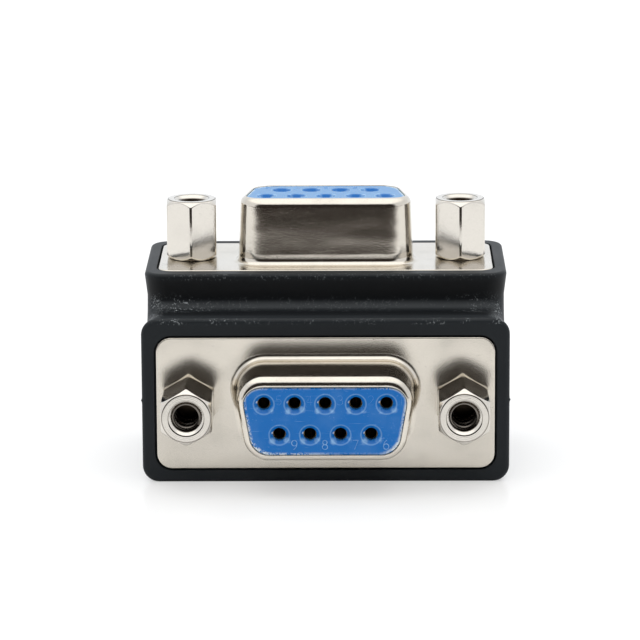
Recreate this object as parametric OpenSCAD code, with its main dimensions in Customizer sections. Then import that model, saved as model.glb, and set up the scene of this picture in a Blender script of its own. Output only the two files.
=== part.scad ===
// Right-angle adapter with two nine-way D-sub socket connectors.
// One connector faces -Y, the other faces +Z, and a moulded L-shaped body holds both.
// Origin: the middle of the part's outer box, at the level of the surface it rests on.

/* [Sockets] */
// Distance between neighbouring sockets in a row
contact_pitch = 2.75; // [2.6:0.01:2.85]
// Distance between the two rows of sockets
row_gap = 2.84; // [2.6:0.01:3]
// Diameter of the pin hole in a socket contact
socket_bore = 1.04; // [0.9:0.01:1.15]
// Outer diameter of a socket contact's barrel
socket_d = 1.7; // [1.5:0.05:1.85]
// Diameter of the hole in the insulator's face
mouth_d = 1.2; // [1.15:0.05:1.4]
// Diameter of the countersink round that hole
mouth_rim_d = 1.8; // [1.5:0.05:2.1]
// Depth from the insulator's face to the contact's mouth
mouth_depth = 0.9; // [0.6:0.05:1.5]

/* [Drawn shells] */
// Outer width of the D's foot at its wide side
shell_w = 16.25; // [15.8:0.05:17]
// Outer height of the D's foot
shell_h = 8.15; // [7.8:0.05:8.6]
// Outer corner radius of the D's foot
shell_corner = 2.6; // [2.3:0.05:2.9]
// Lean of the D's two sides
side_angle = 10; // [6:1:14]
// How far the shell stands out of the flange
shell_depth = 6.15; // [5.5:0.05:7]
// Thickness of the sheet
sheet = 0.4; // [0.3:0.02:0.5]
// Radius between the flange and the shell's wall
base_r = 0.6; // [0.4:0.05:0.9]
// How far each side of the wall leans in from its foot to the lip
wall_lean = 0.2; // [0.05:0.05:0.3]
// Outer radius of the rolled lip
lip_r = 0.76; // [0.56:0.02:0.9]
// Width of the lip's flat past its radius, over the insulator
lip_flat = 0.04; // [0.02:0.01:0.3]
// Depth of the rear shell behind the flanges
rear_depth = 3.8; // [3.2:0.1:4.2]

/* [Flange and jackscrews] */
// Height of the flange
flange_h = 12.3; // [12.1:0.05:13.2]
// Distance from a jackscrew to the flange's end
flange_ear = 2.95; // [2.8:0.05:3.6]
// Corner radius of the flange
flange_corner = 1.4; // [0.8:0.1:2.4]
// Distance between the two jackscrews
screw_span = 25; // [24.5:0.05:26]
// Width across flats of a jackscrew's hex
hex_flats = 4.6; // [4.2:0.05:5]
// Length of the hex
hex_len = 5.6; // [4.8:0.1:7]
// Diameter of the tapped hole in the hex
tap_d = 2.3; // [2:0.05:2.5]
// Depth of the tapped hole
tap_depth = 5; // [3:0.1:5.2]
// Diameter of the countersink at the tapped hole
tap_rim_d = 3.1; // [2.6:0.05:3.6]
// Diameter of the jackscrew's stud
stud_d = 2.8; // [2.5:0.05:3]
// Outer diameter of a clinch nut
nut_d = 4.6; // [4.2:0.05:4.8]

/* [Body] */
// Width of the rim beside the front flange
front_side_rim = 1.33; // [1:0.01:2]
// Width of the rim beside the top flange
top_side_rim = 1.2; // [1:0.01:2]
// Width of the rim between a flange and the inner corner of the L
inner_rim = 1.72; // [1:0.01:2.2]
// Width of the rim at a flange's other long side
outer_rim = 1.28; // [1:0.01:2.2]
// How far the top block stands back from the front face
step_y = 4; // [3.5:0.05:6]
// How far the top face stands above the front block
step_z = 3.3; // [3.2:0.05:5]
// How much each side draws in from a face to the neck
side_draft = 0.24; // [0.1:0.02:0.6]
// Corner radius of the front block
front_corner = 1.5; // [1:0.1:2.2]
// Corner radius of the top block
top_corner = 1.9; // [1:0.1:2.4]
// Corner radius of the neck and the elbow
neck_corner = 1.7; // [1:0.1:2.2]
// Radius in the inner corner of the L
inner_r = 1.1; // [0.5:0.1:1.8]
// Radius of the outer elbow
elbow_r = 7; // [3:0.5:9]
// Radius of the edge round each face
edge_r = 0.36; // [0.1:0.02:0.6]

/* [Wires] */
// Diameter of a wire
wire_d = 1; // [0.7:0.05:1.1]
// Outer diameter of a solder cup
cup_d = 1.5; // [1.4:0.05:1.8]
// Length of a solder cup behind the rear insulator
cup_len = 2.2; // [1.8:0.1:2.4]

/* [Clearances] */
// Gap between the flange and the rim round it
rim_gap = 0.15; // [0.05:0.01:0.3]
// Gap between parts that are put together
fit_gap = 0.06; // [0.04:0.01:0.1]
// Gap between the stud and the clinch nut
thread_gap = 0.03; // [0.02:0.01:0.06]

/* [Hidden] */
$fn = 48;
front_names = [for (i = [1:9]) str("front_contact_", i)];
top_names = [for (i = [1:9]) str("top_contact_", i)];
wire_names = [for (i = [1:9]) str("wire_", i)];

black = "#232529";
nickel = "#c9c5bc";
blue = "#2a6fbb";
gold = "#c8a24a";
copper_tin = "#b9b4ab";
amber = "#d8d2b8";

// Thickness of a slice that a hull starts from
slice = 0.01;
// Strip of the flange that is swept together with a drawn wall
foot_lap = 0.3;
// Overshoot of a cut past the face that it opens
cut = 0.5;
// How far a leaning side of an outline is set in, so that it crosses its corner circles clearly
lean_nip = 0.002;
// How far the drawn wall's runs are set in from its turned corners
sweep_nip = 0.03;
// How far a turned corner of the drawn wall laps over the runs beside it, in degrees
corner_lap = 14;
// How far the bend in the inner corner reaches into the neck
bend_lap = 4;
// Turns at which the round edge of a face is cut into slices
edge_turns = [0, 30, 60, 90];

// How far the lip is turned in from the top of the wall
lip_reach = lip_r + lip_flat;

// Levels along a connector's axis, from the face of its flange, positive towards the plug
stack = 2 * sheet;
rear_level = -stack - rear_depth;
face_inset = 0.1;
face_level = shell_depth - face_inset;
insulator_flange = 1.2;
split_level = -stack - insulator_flange;
boss_len = 0.8;
boss_level = rear_level - boss_len;
cup_level = boss_level - cup_len;
cup_web = 0.3;
cup_floor = boss_level - cup_web;

// Turned lengths and diameters of a contact
collar_len = 0.8;
collar_step = 0.2;
collar_d = socket_d + 2 * collar_step;
tail_step = 0.05;
tail_d = cup_d - 2 * tail_step;
socket_depth = 5.2;
cup_scoop = 0.2;
mouth_rim_depth = 0.35;

// Fasteners
nut_len = 3;
stud_room = 0.15;
hex_turned = 0.1;

// Outlines, each as the centres of its round corners, anticlockwise
function box_centres(w, h, r) = [[-w / 2 + r, -h / 2 + r], [w / 2 - r, -h / 2 + r],
                                 [w / 2 - r, h / 2 - r], [-w / 2 + r, h / 2 - r]];
function d_centres(w, h, r) =
    let (wide = w / 2 - r, narrow = rounded(wide - tan(side_angle) * (h - 2 * r)))
    [[-narrow, -h / 2 + r], [narrow, -h / 2 + r], [wide, h / 2 - r], [-wide, h / 2 - r]];
function rounded(x) = round(x * 1000) / 1000;
function next(list, i) = list[(i + 1) % len(list)];
function run_angle(list, i) =
    let (d = next(list, i) - list[i]) atan2(d.y, d.x) - 90;
function turn(list, i) = (run_angle(list, (i + 1) % len(list)) - run_angle(list, i) + 720) % 360;
function facing(angle) = [cos(angle), sin(angle)];
function set_in(angle) = angle % 90 == 0 ? 0 : lean_nip;

front_d = d_centres(shell_w, shell_h, shell_corner);
rear_reach = 1;
rear_margin = 0.9;
rear_corner_extra = 0.6;
nut_room = 0.25;
rear_w = screw_span - nut_d - 2 * nut_room;
rear_h = flange_h - 2 * rear_margin;
rear_corner = shell_corner + rear_corner_extra;
rear_d = d_centres(rear_w, rear_h, rear_corner);
flange_w = screw_span + 2 * flange_ear;
flange_box = box_centres(flange_w, flange_h, flange_corner);

// The body's sizes follow the flanges and the step of the L
front_w = flange_w + 2 * front_side_rim;
top_w = flange_w + 2 * top_side_rim;
neck_w = min(front_w, top_w) - 2 * side_draft;
block_h = flange_h + inner_rim + outer_rim;
rim_shift = (inner_rim - outer_rim) / 2;
body_d = step_y + block_h;
body_h = step_z + block_h;
front_axis_z = outer_rim + flange_h / 2;
top_axis_y = step_y + inner_rim + flange_h / 2;
front_face_y = -(body_d - shell_depth) / 2;

// Wires bend round one centre, so the two rows stay apart by the row gap
bend_room = min(top_axis_y - row_gap / 2 + cup_level, body_h + cup_level - front_axis_z - row_gap / 2);
bend_slack = 0.3;
bend_r = bend_room - bend_slack;
bend_y = front_face_y + top_axis_y - row_gap / 2 - bend_r;
bend_z = front_axis_z + row_gap / 2 + bend_r;
mould_wall = 1.1;
mould_half_w = 2 * contact_pitch + cup_d / 2 + mould_wall;

// Places of the nine contacts, from number one along the wide row and then along the other
long_row = 5;
short_row = 4;
contact_places = [for (i = [0:long_row + short_row - 1]) i < long_row
    ? [((long_row - 1) / 2 - i) * contact_pitch, row_gap / 2]
    : [(long_row + (short_row - 1) / 2 - i) * contact_pitch, -row_gap / 2]];

module on_front() { translate([0, front_face_y, front_axis_z]) rotate([90, 0, 0]) children(); }
module on_top() { translate([0, front_face_y + top_axis_y, body_h]) rotate([0, 0, 180]) children(); }
module at_contacts() { for (p = contact_places) translate(p) children(); }
module at_screws() { for (s = [-1, 1]) translate([s * screw_span / 2, 0, 0]) children(); }

// Flat outline with round corners of radius r about the given centres
module outline(centres, r) {
    last = len(centres) - 1;
    polygon([for (i = [0:last], a = [run_angle(centres, i == 0 ? last : i - 1), run_angle(centres, i)])
        centres[i] + (r - set_in(a)) * facing(a)]);
    for (c = centres) translate(c) circle(r);
}

module prism(centres, r, from, to) {
    translate([0, 0, from]) linear_extrude(to - from) outline(centres, r);
}

module bore(d, from, to) { translate([0, 0, from]) cylinder(d = d, h = to - from); }

// Sweep a section round an outline: straight runs between the corners, turned pieces that lap over them
module sweep_round(centres, r) {
    for (i = [0:len(centres) - 1]) {
        ahead = next(centres, i);
        translate(ahead) rotate([90, 0, run_angle(centres, i)])
            linear_extrude(norm(ahead - centres[i])) intersection() {
                translate([r - sweep_nip, -sweep_nip]) children();
                translate([0, -sheet]) square(shell_w);
            }
        translate(ahead) rotate(run_angle(centres, i) - corner_lap)
            rotate_extrude(angle = turn(centres, i) + 2 * corner_lap) translate([r, 0]) children();
    }
}

module quarter_ring(inner, outer) {
    intersection() {
        difference() {
            circle(outer);
            circle(inner);
        }
        square(outer);
    }
}

// Section of the drawn wall: strip of the flange, radius out of it, wall, rolled lip and the lip's flat
module drawn_section() {
    translate([base_r, -sheet]) square([foot_lap, sheet]);
    translate([base_r, base_r]) rotate(180) quarter_ring(base_r, base_r + sheet);
    polygon([[-sheet, base_r], [0, base_r], [-wall_lean, shell_depth - lip_r],
        [-sheet - wall_lean, shell_depth - lip_r]]);
    translate([-wall_lean, shell_depth]) {
        translate([-lip_r, -lip_r]) quarter_ring(lip_r - sheet, lip_r);
        translate([-lip_reach, -sheet]) square([lip_flat, sheet]);
    }
}

// Flange with its two screw holes and the drawn D that stands out of it
module shell() {
    color(nickel) {
        translate([0, 0, -sheet]) linear_extrude(sheet) difference() {
            outline(flange_box, flange_corner);
            outline(front_d, shell_corner + base_r + foot_lap / 2);
            at_screws() circle(d = stud_d + 2 * stud_room);
        }
        sweep_round(front_d, shell_corner) drawn_section();
    }
}

// Shell behind the flange: its own flange, a wider D and the edge that holds the rear insulator
module rear_shell() {
    color(nickel) difference() {
        union() {
            prism(flange_box, flange_corner, -stack, -sheet);
            prism(rear_d, rear_corner, rear_level, -sheet);
        }
        prism(rear_d, rear_corner - sheet, rear_level + sheet, cut - sheet);
        prism(rear_d, rear_corner - rear_reach, rear_level - cut, -sheet);
        at_screws() bore(stud_d + 2 * stud_room, -stack - cut, cut - sheet);
    }
}

// Front half of the insulator: nose in the lip, body in the shell, flange in the rear shell
module insulator() {
    color(blue) difference() {
        union() {
            prism(front_d, shell_corner - wall_lean - lip_reach - fit_gap, shell_depth - lip_r, face_level);
            prism(front_d, shell_corner - wall_lean - sheet - fit_gap, -sheet, shell_depth - lip_r);
            prism(rear_d, rear_corner - sheet - fit_gap, split_level, -sheet);
        }
        at_contacts() {
            bore(mouth_d, face_level - mouth_depth - fit_gap, face_level + cut);
            bore(socket_d + 2 * fit_gap, split_level - cut, face_level - mouth_depth);
            translate([0, 0, face_level - mouth_rim_depth])
                cylinder(d1 = mouth_d, d2 = mouth_rim_d, h = mouth_rim_depth);
        }
    }
}

// Rear half: holds the contacts' collars, and its boss comes out of the rear shell
module rear_insulator() {
    color(blue) difference() {
        union() {
            prism(rear_d, rear_corner - sheet - fit_gap, rear_level + sheet, split_level);
            prism(rear_d, rear_corner - rear_reach - fit_gap, boss_level, rear_level + sheet);
        }
        at_contacts() {
            bore(collar_d + 2 * fit_gap, split_level - collar_len, split_level + cut);
            bore(tail_d + 2 * fit_gap, boss_level - cut, split_level);
        }
    }
}

// Turned socket contact: barrel with its pin hole, collar, tail and scooped solder cup
module contact() {
    mouth = face_level - mouth_depth;
    color(gold) difference() {
        union() {
            bore(socket_d, split_level, mouth);
            bore(collar_d, split_level - collar_len, split_level);
            bore(tail_d, boss_level, split_level - collar_len);
            bore(cup_d, cup_level, boss_level);
        }
        bore(socket_bore, mouth - socket_depth, mouth + cut);
        bore(wire_d + 2 * fit_gap, cup_level - cut, cup_floor);
        translate([-cup_d, cup_scoop, cup_level - cut]) cube([2 * cup_d, cup_d, cup_len / 2 + cut]);
    }
}

// Hex post with both ends turned off, a tapped and countersunk end, and its stud
module jackscrew() {
    corner_r = hex_flats / 2 / cos(30);
    tip_r = hex_flats / 2 - hex_turned;
    turned = (corner_r - tip_r) * tan(30);
    rim_depth = (tap_rim_d - tap_d) / 2;
    color(nickel) difference() {
        union() {
            intersection() {
                rotate(30) cylinder(r = corner_r, h = hex_len, $fn = 6);
                rotate_extrude() polygon([[0, 0], [tip_r, 0], [corner_r, turned],
                    [corner_r, hex_len - turned], [tip_r, hex_len], [0, hex_len]]);
            }
            bore(stud_d, -stack - nut_len, 0);
        }
        bore(tap_d, hex_len - tap_depth, hex_len + cut);
        translate([0, 0, hex_len - rim_depth]) cylinder(d1 = tap_d, d2 = tap_rim_d, h = rim_depth);
    }
}

module clinch_nut() {
    color(nickel) difference() {
        bore(nut_d, -stack - nut_len, -stack);
        bore(stud_d + 2 * thread_gap, -stack - nut_len - cut, cut - stack);
    }
}

// One wire: out of the front contact's cup, round the bend and up into the top contact's cup
module wire(place, d) {
    bend = bend_r + row_gap / 2 - place.y;
    translate([place.x, front_face_y - cup_floor, front_axis_z + place.y]) rotate([-90, 0, 0])
        cylinder(d = d, h = bend_y - front_face_y + cup_floor);
    translate([place.x, bend_y, bend_z]) rotate([90, 0, 90]) rotate(-90)
        rotate_extrude(angle = 90) translate([bend, 0]) circle(d = d);
    translate([place.x, bend_y + bend, bend_z]) cylinder(d = d, h = body_h + cup_floor - bend_z);
}

// Block round the soldered joints, larger by gap where it is cut out of the body
module mould_block(gap) {
    reach = bend_r + row_gap + wire_d / 2 + mould_wall;
    from = [-mould_half_w, front_face_y - boss_level, bend_z - reach];
    to = [mould_half_w, bend_y + reach, body_h + boss_level];
    grow = [gap, gap, gap];
    translate(from - grow) cube(to - from + 2 * grow);
}

module inner_mould() {
    color(amber) difference() {
        mould_block(0);
        for (p = contact_places) wire(p, wire_d + 2 * fit_gap);
        on_front() at_contacts() bore(cup_d + 2 * fit_gap, cup_level - fit_gap, boss_level + cut);
        on_top() at_contacts() bore(cup_d + 2 * fit_gap, cup_level - fit_gap, boss_level + cut);
    }
}

// Block behind one connector's face: round edge, then sides that draw in to the neck
module face_block(w, r, depth) {
    translate([0, rim_shift, 0]) hull($fn = 32) {
        for (a = edge_turns) {
            inset = 2 * edge_r * (1 - sin(a));
            level = -edge_r * (1 - cos(a));
            prism(box_centres(w - inset, block_h - inset, r), r - inset / 2, level - slice, level);
        }
        prism(box_centres(neck_w, block_h, neck_corner), neck_corner, -depth, slice - depth);
    }
}

// Straight run of the neck behind a face
module neck_run(from, to) {
    translate([0, rim_shift, 0]) prism(box_centres(neck_w, block_h, neck_corner), neck_corner, from, to);
}

// Half of the neck's section, from its rounded side to a depth
module neck_edge(depth) {
    flat = neck_w / 2 - neck_corner;
    translate([0, -flat]) square([depth, 2 * flat]);
    translate([neck_corner, -neck_w / 2]) square([depth - neck_corner, neck_w]);
    for (s = [-1, 1]) translate([neck_corner, s * flat]) circle(neck_corner);
}

// Turn children about an axis along X through a point in side view
module about(y, z) { translate([0, y, z]) rotate([90, 0, 90]) children(); }

// Seat of one connector in the body: flanges, rear shell, boss and clinch nuts
module connector_seat() {
    prism(flange_box, flange_corner + rim_gap, -stack, cut);
    prism(rear_d, rear_corner + fit_gap, rear_level, cut - stack);
    prism(rear_d, rear_corner - rear_reach, boss_level - fit_gap, rear_level + cut);
    at_screws() bore(nut_d + 2 * fit_gap, -stack - nut_len, cut - stack);
}

module body() {
    color(black) difference() {
        union() {
            on_front() face_block(front_w, front_corner, step_y - inner_r);
            on_top() face_block(top_w, top_corner, step_z - inner_r);
            on_front() neck_run(elbow_r - body_d, -2 * edge_r);
            on_top() neck_run(elbow_r - body_h, -2 * edge_r);
            about(front_face_y + body_d - elbow_r, elbow_r)
                rotate_extrude() translate([elbow_r, 0]) mirror([1, 0]) neck_edge(elbow_r);
            about(front_face_y + step_y - inner_r, block_h + inner_r) rotate(-90)
                rotate_extrude(angle = 90) translate([inner_r, 0]) neck_edge(bend_lap);
        }
        on_front() connector_seat();
        on_top() connector_seat();
        mould_block(fit_gap);
    }
}

body();
inner_mould();
on_front() shell();  // front_shell
on_top() shell();  // top_shell
on_front() rear_shell();  // front_rear_shell
on_top() rear_shell();  // top_rear_shell
on_front() insulator();  // front_insulator
on_top() insulator();  // top_insulator
on_front() rear_insulator();  // front_rear_insulator
on_top() rear_insulator();  // top_rear_insulator
union() {  // jackscrews
    on_front() at_screws() jackscrew();
    on_top() at_screws() jackscrew();
}
union() {  // clinch_nuts
    on_front() at_screws() clinch_nut();
    on_top() at_screws() clinch_nut();
}
for (i = [0:8]) {
    on_front() translate(contact_places[i]) contact();
    on_top() translate(contact_places[i]) contact();
    color(copper_tin) wire(contact_places[i], wire_d);
}
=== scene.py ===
"""Looks of a right-angle D-sub adapter, laid out as an add-on and run as a script."""
import math

import bmesh
import bpy
from bpy.props import FloatProperty, FloatVectorProperty, PointerProperty
from mathutils import Matrix, Vector


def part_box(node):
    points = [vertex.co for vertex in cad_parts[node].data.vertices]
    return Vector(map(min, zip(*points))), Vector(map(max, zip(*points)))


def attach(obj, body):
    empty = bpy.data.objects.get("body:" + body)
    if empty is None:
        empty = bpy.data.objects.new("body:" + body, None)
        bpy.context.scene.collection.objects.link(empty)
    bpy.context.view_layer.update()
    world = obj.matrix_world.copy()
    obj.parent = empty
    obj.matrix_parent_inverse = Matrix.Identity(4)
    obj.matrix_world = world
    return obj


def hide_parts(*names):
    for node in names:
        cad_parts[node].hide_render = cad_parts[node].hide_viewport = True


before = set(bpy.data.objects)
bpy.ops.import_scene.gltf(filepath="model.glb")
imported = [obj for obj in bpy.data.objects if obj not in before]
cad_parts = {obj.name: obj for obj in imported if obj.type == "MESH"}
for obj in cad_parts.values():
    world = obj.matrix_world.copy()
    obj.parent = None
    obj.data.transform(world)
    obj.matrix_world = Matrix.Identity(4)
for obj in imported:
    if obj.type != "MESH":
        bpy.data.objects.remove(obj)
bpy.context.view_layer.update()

bl_info = {
    "name": "Right-angle D-sub adapter",
    "version": (1, 0, 0),
    "blender": (4, 5, 0),
    "location": "View3D > Sidebar > Adapter",
    "description": "Builds the looks of a moulded right-angle adapter with two socket connectors",
    "category": "Object",
}

MM = 0.001
# Points nearer than this many metres are one point, and directions with a larger cosine are one direction
SAME_PLACE = 1e-8
SAME_DIRECTION = 0.999998

body_low, body_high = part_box("body")
front_low, front_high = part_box("front_shell")
blue_low, blue_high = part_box("front_insulator")
top_low, top_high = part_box("top_shell")

# Places that the solids fix, in metres. The rim between the front flange and the inner corner is given here.
FACE_Y = body_low.y
BACK_Y = body_high.y
TOP_Z = body_high.z
AXIS_Z = (front_low.z + front_high.z) / 2
AXIS_Y = (top_low.y + top_high.y) / 2
INNER_RIM = 1.72 * MM
BLOCK = front_high.z + INNER_RIM
WALL_Y = BACK_Y - BLOCK
FRONT_FRAME = Matrix(((1, 0, 0, 0), (0, 0, -1, FACE_Y), (0, 1, 0, AXIS_Z), (0, 0, 0, 1)))
TOP_FRAME = Matrix(((-1, 0, 0, 0), (0, -1, 0, AXIS_Y), (0, 0, 1, TOP_Z), (0, 0, 0, 1)))
FRAMES = {"front": FRONT_FRAME, "top": TOP_FRAME}


def length(name, description, default):
    """Property for a length in metres."""
    return FloatProperty(name=name, description=description, default=default, unit="LENGTH", precision=5)


def colour(name, description, default):
    """Property for a linear colour."""
    return FloatVectorProperty(name=name, description=description, default=default, subtype="COLOR",
                               min=0, max=1)


def angle(name, description, degrees):
    """Property for an angle, with its default in degrees."""
    return FloatProperty(name=name, description=description, default=math.radians(degrees), subtype="ANGLE")


class AdapterSizes(bpy.types.PropertyGroup):
    """Sizes of the visible pieces."""
    shell_w: length("Shell width", "Outer width of the D's foot at its wide side", 16.25 * MM)
    shell_h: length("Shell height", "Outer height of the D's foot", 8.15 * MM)
    shell_corner: length("Shell corner", "Outer corner radius of the D's foot", 2.6 * MM)
    side_angle: angle("Side lean", "Lean of the D's two sides", 10)
    shell_depth: length("Shell depth", "How far the shell stands out of the flange", FACE_Y - front_low.y)
    sheet: length("Sheet", "Thickness of the drawn sheet", front_high.y - FACE_Y)
    base_r: length("Base radius", "Radius between flange and wall", 0.6 * MM)
    wall_lean: length("Wall lean", "How far the wall leans in from its foot to the lip", 0.2 * MM)
    lip_r: length("Lip radius", "Outer radius of the rolled lip", 0.76 * MM)
    lip_reach: length("Lip reach", "How far the lip is turned in", 0.57 * MM)
    lip_more: length("Lip more", "How much further the lip is turned in along the D's wide side", 0.28 * MM)
    lip_nose: length("Lip nose", "Rounding of the lip's cut end", 0.05 * MM)
    flange_w: length("Flange width", "Width of the flange", front_high.x - front_low.x)
    flange_h: length("Flange height", "Height of the flange", front_high.z - front_low.z)
    flange_corner: length("Flange corner", "Corner radius of the flange", 1.4 * MM)
    flange_edge: length("Flange edge", "Rounding of the flange's cut edge", 0.12 * MM)
    flange_strip: length("Flange strip", "Width of the flange that is swept with the wall", 0.12 * MM)
    screw_span: length("Screw span", "Distance between the two jackscrews", 25 * MM)
    hex_flats: length("Hex flats", "Width across flats of a post", 4.6 * MM)
    hex_len: length("Hex length", "Length of a post", 5.6 * MM)
    hex_edge: length("Hex edge", "Rounding of a post's edges", 0.09 * MM)
    hex_round: length("Hex corner", "Corner radius of a post's hexagon", 0.24 * MM)
    hex_slope: angle("Hex slope", "Slope of the turned chamfer at a post's ends", 47)
    hex_turned: length("Turned end", "How far the turned end lies inside the flats", 0.1 * MM)
    tap_wall: length("Tap wall", "Radius of the tapped hole at the thread's root", 1.27 * MM)
    tap_rim: length("Tap rim", "Radius of the countersink at the tapped hole", 1.62 * MM)
    tap_bright: length("Tap ring", "Width of the bright ring at the foot of the countersink", 0.11 * MM)
    tap_depth: length("Tap depth", "Depth of the tapped hole", 5 * MM)
    thread_pitch: length("Thread pitch", "Pitch of the thread", 0.635 * MM)
    thread_less: length("Thread runout", "What the thread is shorter by than its hole", 0.5 * MM)
    thread_lift: length("Thread lift", "Height of the thread's start above the hole's end", 0.1 * MM)
    thread_ridge: length("Thread ridge", "Height of the thread's ridge", 0.16 * MM)
    stud_r: length("Stud radius", "Radius of a post's stud", 1.4 * MM)
    stud_len: length("Stud length", "Length of a post's stud", 3.8 * MM)
    stud_room: length("Stud room", "Gap round the stud in the flange", 0.15 * MM)
    top_w: length("Top width", "Width of the body at its top face", 33.3 * MM)
    neck_w: length("Neck width", "Width of the body away from its faces", 32.82 * MM)
    front_corner: length("Front corner", "Corner radius of the front block", 1.5 * MM)
    top_corner: length("Top corner", "Corner radius of the top block", 1.9 * MM)
    neck_corner: length("Neck corner", "Corner radius of the neck and the elbow", 1.7 * MM)
    inner_r: length("Inner radius", "Radius in the inner corner of the L", 1.1 * MM)
    elbow_r: length("Elbow radius", "Radius of the outer elbow", 7 * MM)
    edge_r: length("Face edge", "Rounding of the edge round each face", 0.36 * MM)
    rim_gap: length("Rim gap", "Gap between the flange and the rim", 0.15 * MM)
    seat_depth: length("Seat depth", "Depth of the seat round the flange", 0.8 * MM)
    seat_edge: length("Seat edge", "Rounding of the edge of that seat", 0.07 * MM)
    seam: length("Seam", "Mean height of the faint seam along the sides", 0.02 * MM)
    flash: length("Flash", "Height of the moulding flash near the front face", 0.15 * MM)
    contact_pitch: length("Contact pitch", "Distance between sockets in a row", 2.75 * MM)
    row_gap: length("Row gap", "Distance between the two rows", 2.84 * MM)
    face_inset: length("Face inset", "How far the insulator's face lies inside the lip", 0.1 * MM)
    face_gap: length("Face gap", "Gap between the insulator and the metal round it", 0.05 * MM)
    wide_gap: length("Wide gap", "What the gap is larger by along the D's wide side", 0.07 * MM)
    face_edge: length("Face edge", "Rounding of the insulator's face at its edge", 0.06 * MM)
    mouth_r: length("Mouth", "Radius of a hole in the insulator's face", 0.6 * MM)
    mouth_rim: length("Mouth rim", "Radius of the hole's countersink", 0.9 * MM)
    mouth_sink: length("Mouth sink", "Depth of the hole's countersink", 0.35 * MM)
    mouth_depth: length("Mouth depth", "Depth of the hole before the contact", 0.9 * MM)
    pocket_r: length("Pocket", "Radius of the hole round the contact", 0.91 * MM)
    digit_h: length("Digit height", "Height of the moulded numbers", 0.85 * MM)
    digit_beside: length("Digit place", "From a socket's axis to its number's left edge", 1.09 * MM)
    digit_wide: length("Wide row's numbers", "Level of their feet from their sockets' axes", -0.05 * MM)
    digit_narrow: length("Narrow row's numbers", "Level of their feet from their sockets' axes", -1.33 * MM)
    digit_line: length("Digit line", "Radius of the moulded numbers' strokes", 0.045 * MM)


class AdapterColours(bpy.types.PropertyGroup):
    """Colours of the finishes, as linear values."""
    body: colour("Body", "Moulded black plastic", (0.0113, 0.0140, 0.0166))
    # Painted shade: the plastic's colour on the wall and the ledge by the inner corner, where shade falls
    body_painted_shade: colour("Body in shade", "Plastic in the shade of the inner corner", (0.0008, 0.0014, 0.0022))
    # Pale colour of the plastic's specks, and of the painted sheen along the inner fillet
    scuff_and_sheen: colour("Scuff", "Rubbed places of the plastic", (0.28, 0.30, 0.31))
    nickel: colour("Nickel", "Plated sheet", (0.675, 0.631, 0.56))
    post: colour("Post", "Plated posts", (0.69, 0.655, 0.60))
    # Painted shade for the tapped holes, their threads and the dark lines on the posts' ends
    painted_hole_shade: colour("Oil", "Oily film in the tapped holes", (0.06, 0.044, 0.032))
    insulator: colour("Insulator", "Blue insulator", (0.0045, 0.134, 0.45))
    # Pale blue of the insulator's edge, drag lines and flecks, and of its painted highlights round the
    # sockets and on the numbers
    insulator_wear_and_highlight: colour("Worn insulator", "Pale edges and flecks of the insulator", (0.22, 0.40, 0.66))
    # White of the chips along the insulator's edge and of the painted glint at each hole
    chip_and_glint: colour("Chip", "White chips along the insulator's edge", (0.62, 0.68, 0.72))
    # The numbers' lines are lighter than the face, partly as a painted highlight where they catch light
    number: colour("Number", "Moulded number lines", (0.07, 0.22, 0.52))
    # Painted shade: far darker than gold, for contacts that sit in shade inside their holes
    contact: colour("Contact", "Gold flash on the contacts", (0.16, 0.105, 0.04))
    wire: colour("Wire", "Tinned wire", (0.55, 0.53, 0.5))
    mould: colour("Inner mould", "Block round the joints", (0.62, 0.58, 0.44))
    floor: colour("Floor", "Table", (0.93, 0.93, 0.93))


# Node trees

class Graph:
    """A node tree, with one method that adds any node and sets or links its sockets."""

    def __init__(self, tree):
        self.tree = tree

    def feed(self, socket, value):
        """Link a field or a socket to an input, or set the input to a plain value."""
        if isinstance(value, Field):
            value = value.socket
        if isinstance(value, bpy.types.NodeSocket):
            self.tree.links.new(value, socket)
        else:
            socket.default_value = value

    def node(self, kind, settings=None, sockets=None):
        made = self.tree.nodes.new(kind)
        for key, value in (settings or {}).items():
            setattr(made, key, value)
        for key, value in (sockets or {}).items():
            self.feed(made.inputs[key], value)
        return made

    def maths(self, operation, *terms):
        made = self.node("ShaderNodeMath", {"operation": operation}, dict(enumerate(terms)))
        return Field(self, made.outputs[0])

    def noise(self, where, scale, detail=2.0, rough=0.5):
        made = self.node("ShaderNodeTexNoise", {"noise_dimensions": "3D"},
                         {"Vector": where, "Scale": scale, "Detail": detail, "Roughness": rough})
        return Field(self, made.outputs["Fac"])

    def stretch(self, where, factors):
        made = self.node("ShaderNodeVectorMath", {"operation": "MULTIPLY"}, {0: where, 1: factors})
        return made.outputs[0]

    def parts(self, where):
        """The three parts of a vector as fields."""
        made = self.node("ShaderNodeSeparateXYZ", None, {0: where})
        return [Field(self, socket) for socket in made.outputs]

    def blend(self, share, first, second):
        """Colour between two, by a share that may vary."""
        made = self.node("ShaderNodeMix", {"data_type": "RGBA"}, {0: share, 6: first, 7: second})
        return made.outputs[2]


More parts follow.
